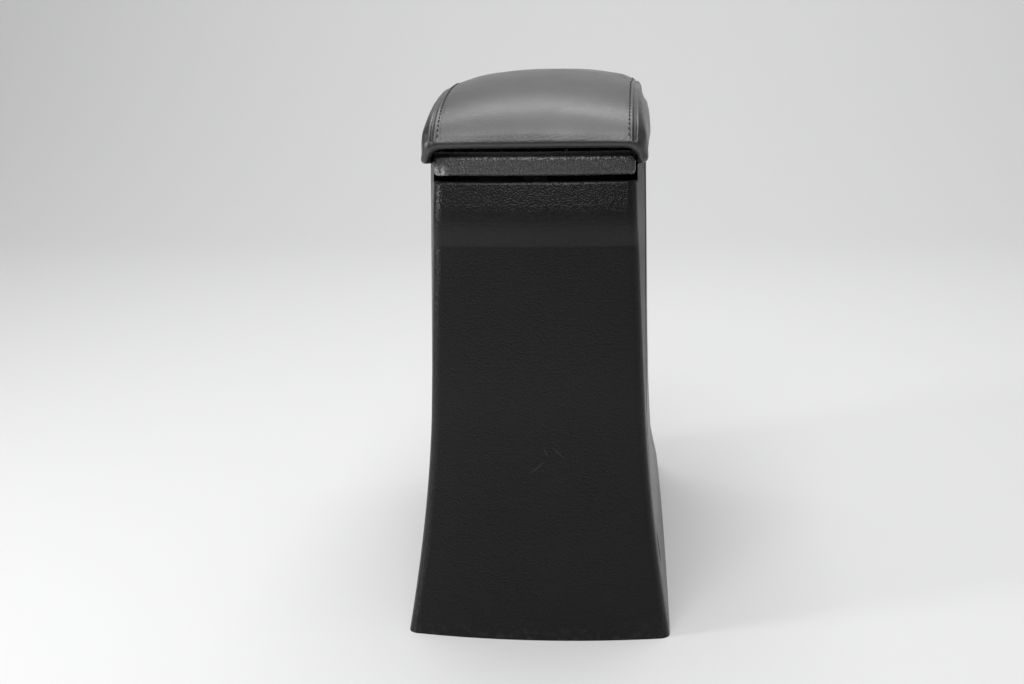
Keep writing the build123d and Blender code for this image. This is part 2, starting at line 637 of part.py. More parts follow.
# Base frame: a folded steel sheet bolted to the floor, with upright sides for the side screws
FRAME_LENGTH = FRAME_FAR_Y - FRAME_NEAR_Y
FRAME_MIDDLE_Y = (FRAME_FAR_Y + FRAME_NEAR_Y) / 2
with BuildPart() as base_frame:
    with Locations((0, FRAME_MIDDLE_Y, 0)):
        Box(2 * FRAME_HALF, FRAME_LENGTH, FRAME_FLANGE_Z, align=(Align.CENTER, Align.CENTER, Align.MIN))
    with Locations((0, FRAME_MIDDLE_Y, FRAME_SHEET)):
        Box(2 * (FRAME_HALF - FRAME_SHEET), FRAME_LENGTH, FRAME_FLANGE_Z,
            align=(Align.CENTER, Align.CENTER, Align.MIN), mode=Mode.SUBTRACT)
    with Locations((0, FRAME_MIDDLE_Y, 0)):
        Box(2 * (FRAME_HALF - FRAME_RAIL), FRAME_LENGTH - 2 * FRAME_RAIL, FRAME_SHEET,
            align=(Align.CENTER, Align.CENTER, Align.MIN), mode=Mode.SUBTRACT)
    with Locations((0, FRAME_MIDDLE_Y, FRAME_SHEET)):
        with GridLocations(BOLT_SPAN_X, BOLT_SPAN_Y, 2, 2):
            Hole(BOLT_HOLE_RADIUS, FRAME_SHEET)
    with BuildSketch(Plane.YZ):
        with Locations(*POCKET_PLACES):
            Circle(SIDE_SCREW_RADIUS + SCREW_CLEARANCE)
    extrude(amount=FRAME_HALF, both=True, mode=Mode.SUBTRACT)
base_frame.part.label = "base_frame"
export_step(base_frame.part, "parts/base_frame.step")

SIDE_SCREW = pan_screw(SIDE_HEAD_RADIUS, SIDE_HEAD, SIDE_SCREW_RADIUS, SIDE_SCREW_LENGTH)
with BuildPart() as side_screws:
    for side in (-1, 1):
        for y, z in POCKET_PLACES:
            with Locations(Plane(origin=(side * (FRAME_HALF + POCKET_FLOOR), y, z), z_dir=(side, 0, 0))):
                add(SIDE_SCREW)
side_screws.part.label = "side_screws"
export_step(side_screws.part, "parts/side_screws.step")

# Hinge: a bracket on the bin's far wall, a pin, and a leaf under the lid
KNUCKLE_WIDTH = 2 * HINGE_HALF / KNUCKLES
KNUCKLE_XS = [KNUCKLE_WIDTH * (i - (KNUCKLES - 1) / 2) for i in range(KNUCKLES)]
HINGE_PLANE = Plane(origin=(0, HINGE_Y, HINGE_Z), x_dir=(0, 1, 0), z_dir=(1, 0, 0))


def knuckle_spans(first):
    return [(x, KNUCKLE_WIDTH - KNUCKLE_GAP) for x in KNUCKLE_XS[first::2]]


with BuildPart() as hinge_bracket:
    bracket_z = HINGE_Z - BRACKET_DROP
    arm_z = HINGE_Z - BARREL_RADIUS
    with Locations((0, BIN_FAR_Y, bracket_z)):
        Box(2 * HINGE_HALF, HINGE_SHEET, arm_z + HINGE_SHEET - bracket_z,
            align=(Align.CENTER, Align.MIN, Align.MIN))
    for x, width in knuckle_spans(0):
        with Locations((x, BIN_FAR_Y, arm_z)):
            Box(width, HINGE_Y - BIN_FAR_Y, HINGE_SHEET, align=(Align.CENTER, Align.MIN, Align.MIN))
        with BuildSketch(HINGE_PLANE.offset(x - width / 2)):
            Circle(BARREL_RADIUS)
        extrude(amount=width)
    with BuildSketch(HINGE_PLANE):
        Circle(PIN_RADIUS + PIN_CLEARANCE)
    extrude(amount=HINGE_HALF, both=True, mode=Mode.SUBTRACT)
    with BuildSketch(Plane.XZ.offset(-BIN_FAR_Y)):
        with Locations(*BRACKET_HOLES):
            Circle(SCREW_RADIUS + SCREW_CLEARANCE)
    extrude(amount=-HINGE_SHEET, mode=Mode.SUBTRACT)
hinge_bracket.part.label = "hinge_bracket"
export_step(hinge_bracket.part, "parts/hinge_bracket.step")

BRACKET_SCREW = pan_screw(SCREW_HEAD_RADIUS, SCREW_HEAD, SCREW_RADIUS, HINGE_SHEET + SCREW_BITE * WALL)
with BuildPart() as bracket_screws:
    for x, z in BRACKET_HOLES:
        with Locations(Plane(origin=(x, BIN_FAR_Y + HINGE_SHEET, z), z_dir=(0, 1, 0))):
            add(BRACKET_SCREW)
bracket_screws.part.label = "bracket_screws"
export_step(bracket_screws.part, "parts/bracket_screws.step")

with BuildPart() as hinge_pin:
    with BuildSketch(HINGE_PLANE):
        Circle(PIN_RADIUS)
    extrude(amount=HINGE_HALF + PIN_HEAD, both=True)
    chamfer(hinge_pin.edges(), length=PIN_HEAD / 2)
hinge_pin.part.label = "hinge_pin"
export_step(hinge_pin.part, "parts/hinge_pin.step")

LEAF_Z = TRAY_Z - HINGE_SHEET
JOGGLE_Z = LEAF_Z - LEAF_JOGGLE
JOGGLE_Y = LID_FAR_Y - TRAY_INSET - HINGE_SHEET - LEATHER
LEAF_NEAR_Y = JOGGLE_Y - LEAF_LENGTH
LEAF_HOLES = [(side * HINGE_HALF * LEAF_HOLE_SPREAD, LEAF_NEAR_Y + LEAF_LENGTH * share)
              for side in (-1, 1) for share in LEAF_HOLE_SHARES]
with BuildPart() as lid_hinge_leaf:
    with Locations((0, LEAF_NEAR_Y, LEAF_Z)):
        Box(2 * HINGE_HALF, LEAF_LENGTH, HINGE_SHEET, align=(Align.CENTER, Align.MIN, Align.MIN))
    with Locations((0, JOGGLE_Y - HINGE_SHEET, JOGGLE_Z)):
        Box(2 * HINGE_HALF, HINGE_SHEET, TRAY_Z - JOGGLE_Z, align=(Align.CENTER, Align.MIN, Align.MIN))
        Box(2 * HINGE_HALF, HINGE_Y + HINGE_SHEET / 2 - JOGGLE_Y + HINGE_SHEET, HINGE_SHEET,
            align=(Align.CENTER, Align.MIN, Align.MIN))
    for x, width in knuckle_spans(1):
        with Locations((x, HINGE_Y, HINGE_Z)):
            Box(width, HINGE_SHEET, JOGGLE_Z + HINGE_SHEET - HINGE_Z,
                align=(Align.CENTER, Align.CENTER, Align.MIN))
        with BuildSketch(HINGE_PLANE.offset(x - width / 2)):
            Circle(BARREL_RADIUS)
        extrude(amount=width)
    with BuildSketch(HINGE_PLANE):
        Circle(PIN_RADIUS + PIN_CLEARANCE)
    extrude(amount=HINGE_HALF, both=True, mode=Mode.SUBTRACT)
    with BuildSketch(Plane.XY.offset(LEAF_Z)):
        with Locations(*LEAF_HOLES):
            Circle(SCREW_RADIUS + SCREW_CLEARANCE)
    extrude(amount=HINGE_SHEET, mode=Mode.SUBTRACT)
lid_hinge_leaf.part.label = "lid_hinge_leaf"
export_step(lid_hinge_leaf.part, "parts/lid_hinge_leaf.step")

LEAF_SCREW = pan_screw(SCREW_HEAD_RADIUS, SCREW_HEAD, SCREW_RADIUS, HINGE_SHEET + SCREW_BITE * TRAY_PLATE)
with BuildPart() as leaf_screws:
    for x, y in LEAF_HOLES:
        with Locations(Plane(origin=(x, y, LEAF_Z), z_dir=(0, 0, -1))):
            add(LEAF_SCREW)
leaf_screws.part.label = "leaf_screws"
export_step(leaf_screws.part, "parts/leaf_screws.step")

# Lid tray: the moulded carrier, with side skirts and the lugs of the release bar
TRAY_PLAN = lid_outline(LID_BOTTOM_Z + LEATHER, TRAY_INSET)
COVER_CORE = lid_form(LEATHER)
TRAY_HOLLOW = lid_hollow(TRAY_Z)
LUG_SPREAD = EAR_WIDTH / 2 + LUG_GAP + LUG_WIDTH / 2
LUG_XS = [side * (EAR_X + offset) for side in (-1, 1) for offset in (-LUG_SPREAD, LUG_SPREAD)]
PIVOT_PLANE = Plane(origin=(0, PIVOT_Y, PIVOT_Z), x_dir=(0, 1, 0), z_dir=(1, 0, 0))
INNER_COVER_NEAR_Y = FACE_Y + INNER_COVER_SETBACK
INNER_COVER_FAR_Y = LEAF_NEAR_Y - INNER_COVER_FIT
LID_SCREWS = [(side * PAD_SEAM_FAR_HALF * LID_SCREW_SPREAD,
               between(INNER_COVER_NEAR_Y, INNER_COVER_FAR_Y, share))
              for side in (-1, 1) for share in LID_SCREW_SHARES]
with BuildPart() as lid_tray:
    extrude(TRAY_PLAN, amount=TRAY_Z + TRAY_PLATE - LID_BOTTOM_Z - LEATHER)
    add(COVER_CORE, mode=Mode.INTERSECT)
    add(TRAY_HOLLOW, mode=Mode.SUBTRACT)
    for x in LUG_XS:
        with BuildSketch(PIVOT_PLANE.offset(x - LUG_WIDTH / 2)):
            Circle(EAR_RADIUS)
            with Locations((0, (TRAY_Z - PIVOT_Z) / 2)):
                Rectangle(2 * EAR_RADIUS, TRAY_Z - PIVOT_Z)
        extrude(amount=LUG_WIDTH)
    with BuildSketch(PIVOT_PLANE):
        Circle(PIVOT_RADIUS + PIN_CLEARANCE)
    extrude(amount=EAR_X + 2 * LUG_SPREAD, both=True, mode=Mode.SUBTRACT)
    with BuildSketch(Plane.XY.offset(TRAY_Z)):
        with Locations(*LID_SCREWS, *LEAF_HOLES):
            Circle(SCREW_RADIUS + SCREW_CLEARANCE)
    extrude(amount=TRAY_PLATE, mode=Mode.SUBTRACT)
lid_tray.part.label = "lid_tray"
export_step(lid_tray.part, "parts/lid_tray.step")

# Lid inner cover: the smooth panel seen when the lid is up
LID_SCREW_PLANES = [Plane(origin=(x, y, INNER_COVER_Z), z_dir=(0, 0, -1)) for x, y in LID_SCREWS]
LID_SCREW_LENGTH = INNER_COVER + SCREW_BITE * TRAY_PLATE
LID_SCREW = flush_screw(LID_SCREW_LENGTH)
LID_SCREW_ROOM = flush_screw(LID_SCREW_LENGTH, SCREW_CLEARANCE)
INNER_PLAN = lid_outline(INNER_COVER_Z, SKIRT_INSET + INNER_COVER_FIT, sharp=True)
with BuildPart() as lid_inner_cover:
    extrude(INNER_PLAN, amount=INNER_COVER)
    split(bisect_by=Plane.XZ.offset(-INNER_COVER_NEAR_Y), keep=Keep.BOTTOM)
    split(bisect_by=Plane.XZ.offset(-INNER_COVER_FAR_Y), keep=Keep.TOP)
    fillet(lid_inner_cover.edges().filter_by(Axis.Z), radius=2 * INNER_COVER)
    fillet(lid_inner_cover.faces().sort_by(Axis.Z)[0].edges(), radius=INNER_COVER / 2)
    with Locations(*LID_SCREW_PLANES):
        add(LID_SCREW_ROOM, mode=Mode.SUBTRACT)
lid_inner_cover.part.label = "lid_inner_cover"
export_step(lid_inner_cover.part, "parts/lid_inner_cover.step")

with BuildPart() as lid_screws:
    with Locations(*LID_SCREW_PLANES):
        add(LID_SCREW)
lid_screws.part.label = "lid_screws"
export_step(lid_screws.part, "parts/lid_screws.step")

# Pad: foam on the tray, under a cover sewn from a centre panel and two side panels
COVER_BLOCK = lid_form(0)
COVER_HOLLOW = lid_hollow(TRAY_Z - LEATHER)
TRAY_ROOM = lid_outline(LID_BOTTOM_Z, TRAY_INSET)
with BuildPart() as pad_core:
    add(COVER_CORE)
    add(TRAY_HOLLOW, mode=Mode.SUBTRACT)
with BuildPart() as pad_foam:
    add(pad_core.part)
    extrude(TRAY_ROOM, amount=TRAY_Z + TRAY_PLATE - LID_BOTTOM_Z, mode=Mode.SUBTRACT)
pad_foam.part.label = "pad_foam"
export_step(pad_foam.part, "parts/pad_foam.step")

WINDOW_NEAR_Y = LID_NEAR_Y + LEATHER_WRAP
WINDOW_FAR_Y = LID_FAR_Y - TRAY_INSET
with BuildPart() as pad_window:
    add(TRAY_HOLLOW)
    split(bisect_by=Plane.XZ.offset(-WINDOW_NEAR_Y), keep=Keep.BOTTOM)
    split(bisect_by=Plane.XZ.offset(-WINDOW_FAR_Y), keep=Keep.TOP)
with BuildPart() as pad_cover:
    add(COVER_BLOCK)
    add(COVER_HOLLOW, mode=Mode.SUBTRACT)
    add(pad_core.part, mode=Mode.SUBTRACT)
    add(pad_window.part, mode=Mode.SUBTRACT)

SEAM_RUN = (PAD_SEAM_FAR_HALF - PAD_SEAM_NEAR_HALF, LID_FAR_Y - LID_NEAR_Y)
PAD_SEAM_RIGHT = Plane(origin=(PAD_SEAM_NEAR_HALF, LID_NEAR_Y, 0), x_dir=(0, 0, 1),
                       z_dir=(SEAM_RUN[1], -SEAM_RUN[0], 0))
PAD_SEAM_LEFT = Plane(origin=(-PAD_SEAM_NEAR_HALF, LID_NEAR_Y, 0), x_dir=(0, 0, 1),
                      z_dir=(-SEAM_RUN[1], -SEAM_RUN[0], 0))
with BuildPart() as pad_centre_panel:
    add(pad_cover.part)
    split(bisect_by=PAD_SEAM_RIGHT, keep=Keep.BOTTOM)
    split(bisect_by=PAD_SEAM_LEFT, keep=Keep.BOTTOM)
pad_centre_panel.part.label = "pad_centre_panel"
export_step(pad_centre_panel.part, "parts/pad_centre_panel.step")

with BuildPart() as pad_right_panel:
    add(pad_cover.part)
    split(bisect_by=PAD_SEAM_RIGHT, keep=Keep.TOP)
pad_right_panel.part.label = "pad_right_panel"
export_step(pad_right_panel.part, "parts/pad_right_panel.step")

with BuildPart() as pad_left_panel:
    add(pad_cover.part)
    split(bisect_by=PAD_SEAM_LEFT, keep=Keep.TOP)
pad_left_panel.part.label = "pad_left_panel"
export_step(pad_left_panel.part, "parts/pad_left_panel.step")

# Rubber bumpers on the bin flange, which the closed lid rests on
BUMPER_TOP_Z = INNER_COVER_Z - PART_FIT
BUMPER_YS = [FACE_Y + BUMPER_NEAR_SETBACK, FAR_FACE_Y - BUMPER_FAR_SETBACK]
with BuildPart() as lid_bumpers:
    for y in BUMPER_YS:
        x = bin_half(y) + BUMPER_MARGIN + BUMPER_RADIUS
        with BuildSketch(Plane.XY.offset(FLANGE_TOP_Z)):
            with Locations((-x, y), (x, y)):
                Circle(BUMPER_RADIUS)
    extrude(amount=BUMPER_TOP_Z - FLANGE_TOP_Z)
    fillet(lid_bumpers.edges().group_by(Axis.Z)[-1], radius=BUMPER_RADIUS / 3)
lid_bumpers.part.label = "lid_bumpers"
export_step(lid_bumpers.part, "parts/lid_bumpers.step")

# Release bar: a bowed grip with two pivot ears and a hook on a stem behind it
BAR_MIDDLE_Z = (BAR_TOP_Z + BAR_BOTTOM_Z) / 2
TOOTH_TOP_Z = CATCH_Z - CATCH_CLEARANCE
TOOTH_BOTTOM_Z = TOOTH_TOP_Z - TOOTH_HEIGHT


def bar_arc(depth, end=BAR_HALF):
    """Three points of the bar's bowed plan line, at a depth behind its face."""
    return [(-end, FACE_Y + NEAR_BOW_TOP + depth), (0, FACE_Y + depth), (end, FACE_Y + NEAR_BOW_TOP + depth)]


with BuildPart() as release_bar:
    with BuildSketch(Plane.XY.offset(BAR_BOTTOM_Z)):
        with BuildLine():
            ThreePointArc(*bar_arc(0))
            Line(bar_arc(0)[2], bar_arc(BAR_DEPTH)[2])
            ThreePointArc(*bar_arc(BAR_DEPTH))
            Line(bar_arc(BAR_DEPTH)[0], bar_arc(0)[0])
        make_face()
    extrude(amount=BAR_TOP_Z - BAR_BOTTOM_Z)
    fillet(release_bar.edges(), radius=BAR_ROUND)
    with BuildSketch(Plane.XY.offset(BAR_MIDDLE_Z)):
        with BuildLine():
            ThreePointArc(*bar_arc(BAR_DEPTH - BAR_LIP))
            Line(bar_arc(BAR_DEPTH - BAR_LIP)[2], bar_arc(BAR_DEPTH)[2])
            ThreePointArc(*bar_arc(BAR_DEPTH))
            Line(bar_arc(BAR_DEPTH)[0], bar_arc(BAR_DEPTH - BAR_LIP)[0])
        make_face()
    extrude(amount=BAR_LIP_Z - BAR_MIDDLE_Z)
    for x in (-EAR_X, EAR_X):
        with BuildSketch(PIVOT_PLANE.offset(x - EAR_WIDTH / 2)):
            Circle(EAR_RADIUS)
            with Locations((0, -EAR_RADIUS)):
                Rectangle(BAR_DEPTH, BAR_TOP_Z - PIVOT_Z + EAR_RADIUS, align=(Align.MAX, Align.MIN))
        extrude(amount=EAR_WIDTH)
    with BuildSketch(PIVOT_PLANE):
        Circle(PIVOT_RADIUS + PIN_CLEARANCE)
    extrude(amount=EAR_X + EAR_WIDTH, both=True, mode=Mode.SUBTRACT)
    with BuildSketch(Plane(origin=(-STEM_HALF, 0, 0), x_dir=(0, 1, 0), z_dir=(1, 0, 0))):
        with BuildLine():
            Polyline((FACE_Y + BAR_DEPTH / 2, STEM_ARM_BOTTOM_Z), (STEM_Y, STEM_ARM_BOTTOM_Z),
                     (STEM_Y, TOOTH_BOTTOM_Z), (STEM_Y + STEM_THICKNESS, TOOTH_BOTTOM_Z),
                     (STEM_Y + STEM_THICKNESS + TOOTH_REACH, TOOTH_TOP_Z - TOOTH_NOSE),
                     (STEM_Y + STEM_THICKNESS + TOOTH_REACH, TOOTH_TOP_Z),
                     (STEM_Y + STEM_THICKNESS, TOOTH_TOP_Z), (STEM_Y + STEM_THICKNESS, STEM_ARM_TOP_Z),
                     (FACE_Y + BAR_DEPTH / 2, STEM_ARM_TOP_Z), close=True)
        make_face()
    extrude(amount=2 * STEM_HALF)
release_bar.part.label = "release_bar"
export_step(release_bar.part, "parts/release_bar.step")

with BuildPart() as bar_pivot_pin:
    with BuildSketch(PIVOT_PLANE):
        Circle(PIVOT_RADIUS)
    extrude(amount=EAR_X + LUG_SPREAD + LUG_WIDTH / 2, both=True)
bar_pivot_pin.part.label = "bar_pivot_pin"
export_step(bar_pivot_pin.part, "parts/bar_pivot_pin.step")

# Return springs of the release bar: small coils around the pivot pin with straight legs
SPRING_LENGTH = SPRING_PITCH * SPRING_TURNS
with BuildPart() as bar_springs:
    with BuildLine():
        coil = Helix(SPRING_PITCH, SPRING_LENGTH, SPRING_RADIUS, (SPRING_X, PIVOT_Y, PIVOT_Z), (1, 0, 0))
    with BuildSketch(Plane(origin=coil @ 0, z_dir=coil % 0)):
        Circle(SPRING_WIRE / 2)
    sweep(path=coil)
    leg_rise = TRAY_Z - PART_FIT - SPRING_WIRE / 2 - (coil @ 0).Z
    with BuildSketch(Plane(origin=coil @ 0, z_dir=(0, SPRING_TRAY_LEG, leg_rise))):
        Circle(SPRING_WIRE / 2)
    extrude(amount=SPRING_TRAY_LEG)
    with BuildSketch(Plane(origin=coil @ 1, z_dir=(0, -1, 0))):
        Circle(SPRING_WIRE / 2)
    extrude(amount=SPRING_BAR_LEG)
    with Locations(coil @ 0, coil @ 1):
        Sphere(SPRING_KNEE)
    mirror(about=Plane.YZ)
bar_springs.part.label = "bar_springs"
export_step(bar_springs.part, "parts/bar_springs.step")

# Catch: a spring-steel clip riveted to the bin's near wall, with a lip over the hook
with BuildPart() as latch_catch:
    with BuildSketch(Plane(origin=(-CATCH_HALF, 0, 0), x_dir=(0, 1, 0), z_dir=(1, 0, 0))):
        with BuildLine():
            Polyline((BIN_NEAR_Y, CATCH_Z - CATCH_DROP), (BIN_NEAR_Y, CATCH_Z + CATCH_SHEET),
                     (BIN_NEAR_Y - CATCH_SHEET - CATCH_LIP, CATCH_Z + CATCH_SHEET),
                     (BIN_NEAR_Y - CATCH_SHEET - CATCH_LIP, CATCH_Z), (BIN_NEAR_Y - CATCH_SHEET, CATCH_Z),
                     (BIN_NEAR_Y - CATCH_SHEET, CATCH_Z - CATCH_DROP), close=True)
        make_face()
    extrude(amount=2 * CATCH_HALF)
    with BuildSketch(Plane.XZ.offset(-BIN_NEAR_Y)):
        with Locations(*CATCH_RIVETS):
            Circle(SCREW_RADIUS + SCREW_CLEARANCE)
    extrude(amount=CATCH_SHEET, mode=Mode.SUBTRACT)
latch_catch.part.label = "latch_catch"
export_step(latch_catch.part, "parts/latch_catch.step")

CATCH_RIVET = pan_screw(SCREW_HEAD_RADIUS, SCREW_HEAD / 2, SCREW_RADIUS, CATCH_SHEET + SCREW_BITE * WALL)
with BuildPart() as catch_rivets:
    for x, z in CATCH_RIVETS:
        with Locations(Plane(origin=(x, BIN_NEAR_Y - CATCH_SHEET, z), z_dir=(0, -1, 0))):
            add(CATCH_RIVET)
catch_rivets.part.label = "catch_rivets"
export_step(catch_rivets.part, "parts/catch_rivets.step")
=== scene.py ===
import json
import math

import bmesh
import bpy
import numpy as np
from mathutils import Matrix, Vector
from mathutils.bvhtree import BVHTree


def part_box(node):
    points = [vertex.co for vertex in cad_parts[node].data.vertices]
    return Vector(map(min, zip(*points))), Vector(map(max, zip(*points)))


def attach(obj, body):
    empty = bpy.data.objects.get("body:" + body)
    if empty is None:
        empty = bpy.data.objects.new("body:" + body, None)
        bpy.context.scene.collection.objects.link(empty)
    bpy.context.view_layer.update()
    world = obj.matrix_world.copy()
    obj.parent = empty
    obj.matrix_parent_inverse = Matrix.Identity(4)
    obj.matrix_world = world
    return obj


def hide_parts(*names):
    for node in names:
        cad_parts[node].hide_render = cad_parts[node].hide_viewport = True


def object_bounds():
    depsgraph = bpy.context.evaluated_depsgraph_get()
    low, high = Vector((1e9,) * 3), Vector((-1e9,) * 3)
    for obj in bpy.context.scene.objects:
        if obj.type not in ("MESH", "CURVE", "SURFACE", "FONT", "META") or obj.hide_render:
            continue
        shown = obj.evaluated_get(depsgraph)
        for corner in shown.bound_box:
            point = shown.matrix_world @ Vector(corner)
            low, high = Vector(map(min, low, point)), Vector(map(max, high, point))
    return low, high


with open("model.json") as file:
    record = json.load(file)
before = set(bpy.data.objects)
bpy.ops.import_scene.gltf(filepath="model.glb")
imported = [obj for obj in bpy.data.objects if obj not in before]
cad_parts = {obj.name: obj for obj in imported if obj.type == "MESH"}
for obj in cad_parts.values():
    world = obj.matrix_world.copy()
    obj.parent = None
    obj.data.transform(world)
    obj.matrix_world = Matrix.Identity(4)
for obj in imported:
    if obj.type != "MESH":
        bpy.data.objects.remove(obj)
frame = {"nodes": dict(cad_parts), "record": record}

# Looks of a car centre armrest: grained plastic housing, sewn leather pad, release bar. Metres, +Z up.

cad_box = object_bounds()
scene = bpy.context.scene
nodes = frame["nodes"]

# Pad sizes that follow the solids
PAD_NODES = ("pad_centre_panel", "pad_left_panel", "pad_right_panel", "pad_foam")
PAD_NEAR_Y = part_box("pad_centre_panel")[0].y
PAD_FAR_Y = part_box("pad_centre_panel")[1].y
PAD_BOTTOM_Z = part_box("pad_right_panel")[0].z
PAD_TOP_Z = cad_box[1][2]
TRAY_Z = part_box("lid_inner_cover")[1].z
SEAM_NEAR_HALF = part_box("pad_centre_panel")[1].x
SEAM_FAR_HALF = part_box("pad_right_panel")[0].x
SKIRT = 0.0025
HOLLOW_NEAR_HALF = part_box("lid_tray")[1].x - SKIRT
HOLLOW_TAPER = 0.005
HOLLOW_FAR_HALF = HOLLOW_NEAR_HALF - HOLLOW_TAPER
WRAP = 0.010

# Cloth simulation of the pad
VOXEL = 0.003
SMOOTHING = 0.5
ROUNDING = 4
LOWER_EDGE = 0.012
SLACK = 0.0012
FRAMES = 20
MOST_SWELL = 0.0020
HELD_MARGIN = 0.004
HELD_GROUP = "held"
CLOTH = {
    "quality": 4,
    "mass": 0.4,
    "tension_stiffness": 25,
    "compression_stiffness": 25,
    "shear_stiffness": 10,
    "bending_stiffness": 2,
    "use_pressure": True,
    "uniform_pressure_force": 4.0,
    "vertex_group_mass": HELD_GROUP,
}

# Seams
REFINE_REACH = 0.0045
REFINE_CUTS = 2
SEAM_DEPTH = 0.0008
SEAM_WIDTH = 0.0007
LIP_HEIGHT = 0.0003
LIP_PLACE = 0.0017
LIP_WIDTH = 0.0009

# Stitches: rise, dive and tip are shares of a stitch's radius
STITCH_INSET_TOP = 0.0026
STITCH_INSET_NOSE = 0.0038
STITCH_DIMPLE = 0.0002
STITCH_PITCH = 0.0038
STITCH_LENGTH = 0.0028
STITCH_RADIUS = 0.0004
STITCH_RISE = 0.7
STITCH_DIVE = 1.6
STITCH_TIP = 0.2
STITCH_RINGS = 7
STITCH_SIDES = 6

# Rays that find where the stitch rows run
ROW_HEART_Z = PAD_BOTTOM_Z + 0.0195
ROW_NEAR_Y = PAD_NEAR_Y + 0.060
ROW_FAR_Y = PAD_FAR_Y - 0.030
ROW_STEPS = 400
FAN_STEPS = 120
NEAR_FAN = math.radians(95)
FAR_FAN = math.radians(92)
FAR_OUT = 0.3

# Wear and a painted highlight: scratches run between (x, z) places of the near face, and the pale patch
# painted as a highlight on the bar's lower left corner is an offset in the bar's box
SCRATCH_Y = -0.167
SCRATCHES = (
    ((0.0040, 0.1155), (0.0065, 0.1110)),
    ((0.0100, 0.1155), (0.0160, 0.1100)),
    ((-0.0040, 0.1000), (0.0040, 0.1070)),
)
SCRATCH_WIDTH = 0.0005
SCRATCH_FADE = 1.5
SCRATCH_COLOUR = (0.03, 0.03, 0.03)
SCUFF_Z = 0.012
SCUFF_COLOUR = (0.025, 0.025, 0.025)
PAINTED_GLINT_OFFSET = Vector((0.0040, 0.0055, 0.0188))
PAINTED_GLINT_RADIUS = 0.006
PAINTED_GLINT_COLOUR = (0.42, 0.41, 0.40)
DUST_SPACING = 0.009
DUST_COLOUR = (0.30, 0.29, 0.28)

# Stage and camera
FLOOR_HALF = 4.0
FLOOR_COLOUR = (0.72, 0.72, 0.72)
FLOOR_ROUGHNESS = 0.9
FLOOR_SHINE = 0.1
SWEEP_Y = 1.4
SWEEP_RADIUS = 1.2
SWEEP_STEPS = 24
WALL_TOP = 3.5
WORLD_COLOUR = (0.9, 0.91, 0.94)
WORLD_STRENGTH = 0.18
IMAGE_WIDTH = 1024
FOCAL_PIXELS = 1500
SENSOR_WIDTH = 36.0
CLIP_START = 0.01
CAMERA_PLACE = Vector((0.0726, -1.03215, 0.3740))
CAMERA_PITCH = math.radians(12.5)
CAMERA_YAW = math.radians(5.711)
CAMERA_ROLL = math.radians(-1.028)


def mix(low, high, share):
    return low + (high - low) * share


def share_along(y):
    """How far along the pad a place is: 0 at the nose, 1 at the far end."""
    return (y - PAD_NEAR_Y) / (PAD_FAR_Y - PAD_NEAR_Y)


def seam_half(y):
    return mix(SEAM_NEAR_HALF, SEAM_FAR_HALF, share_along(y))


def hollow_half(y):
    return mix(HOLLOW_NEAR_HALF, HOLLOW_FAR_HALF, share_along(y))


def add_object(name, data):
    made = bpy.data.objects.new(name, data)
    scene.collection.objects.link(made)
    return made


def mesh_object(name, shape):
    """A new object from a bmesh, which is freed."""
    data = bpy.data.meshes.new(name)
    shape.to_mesh(data)
    shape.free()
    return add_object(name, data)


def shade_smooth(mesh):
    mesh.polygons.foreach_set("use_smooth", [True] * len(mesh.polygons))


# Material nodes

def new_material(name, colour, roughness, metallic=0.0):
    """A Principled material with its constants on the shader's own sockets."""
    made = bpy.data.materials.new(name)
    made.use_nodes = True
    shader = made.node_tree.nodes["Principled BSDF"]
    shader.inputs["Base Color"].default_value = (*colour, 1)
    shader.inputs["Roughness"].default_value = roughness
    shader.inputs["Metallic"].default_value = metallic
    return made, made.node_tree, shader


def add_node(tree, kind, **values):
    """A node with values set on its properties or, by name, on its inputs."""
    node = tree.nodes.new(kind)
    for key, value in values.items():
        if hasattr(node, key):
            setattr(node, key, value)
        else:
            node.inputs[key].default_value = value
    return node


def place(tree):
    """The object's own coordinates, in metres."""
    return add_node(tree, "ShaderNodeTexCoord").outputs["Object"]


def noise(tree, size, detail=2.0):
    node = add_node(tree, "ShaderNodeTexNoise", Scale=1 / size, Detail=detail)
    tree.links.new(place(tree), node.inputs["Vector"])
    return node.outputs["Fac"]


def grey(value):
    return (value, value, value)


def times(colour, factor):
    return tuple(factor * c for c in colour)


def ramp(tree, source, *stops):
    """Colours along a value: each stop is a position and a colour."""
    node = add_node(tree, "ShaderNodeValToRGB")
    elements = node.color_ramp.elements
    while len(elements) < len(stops):
        elements.new(0.5)
    for element, (position, colour) in zip(elements, stops):
        element.position = position
        element.color = (*colour, 1)
    tree.links.new(source, node.inputs["Fac"])
    return node.outputs["Color"]


def math_node(tree, operation, first, second=0.0):
    node = add_node(tree, "ShaderNodeMath", operation=operation)
    for socket, value in zip(node.inputs, (first, second)):
        if isinstance(value, float):
            socket.default_value = value
        else:
            tree.links.new(value, socket)
    return node.outputs[0]


def vector_node(tree, operation, first, second):
    node = add_node(tree, "ShaderNodeVectorMath", operation=operation)
    tree.links.new(first, node.inputs[0])
    node.inputs[1].default_value = second
    return node


def mix_colour(tree, factor, first, second):
    """Goes from a colour output to a fixed colour."""
    node = add_node(tree, "ShaderNodeMix", data_type="RGBA")
    tree.links.new(factor, node.inputs["Factor"])
    low, high = [s for s in node.inputs if s.type == "RGBA"]
    tree.links.new(first, low)
    high.default_value = (*second, 1)
    return [s for s in node.outputs if s.type == "RGBA"][0]


def tint(tree, shader, size, detail, low, high):
    """Colours the shader in patches of about that size, between two stops of a ramp."""
    shade = ramp(tree, noise(tree, size, detail), low, high)
    tree.links.new(shade, shader.inputs["Base Color"])
    return shade


def uneven_gloss(tree, shader, size, detail, least, most):
    """Lets the roughness wander between two values, in patches of about that size."""
    gloss = ramp(tree, noise(tree, size, detail), (0.3, grey(least)), (0.7, grey(most)))
    tree.links.new(gloss, shader.inputs["Roughness"])


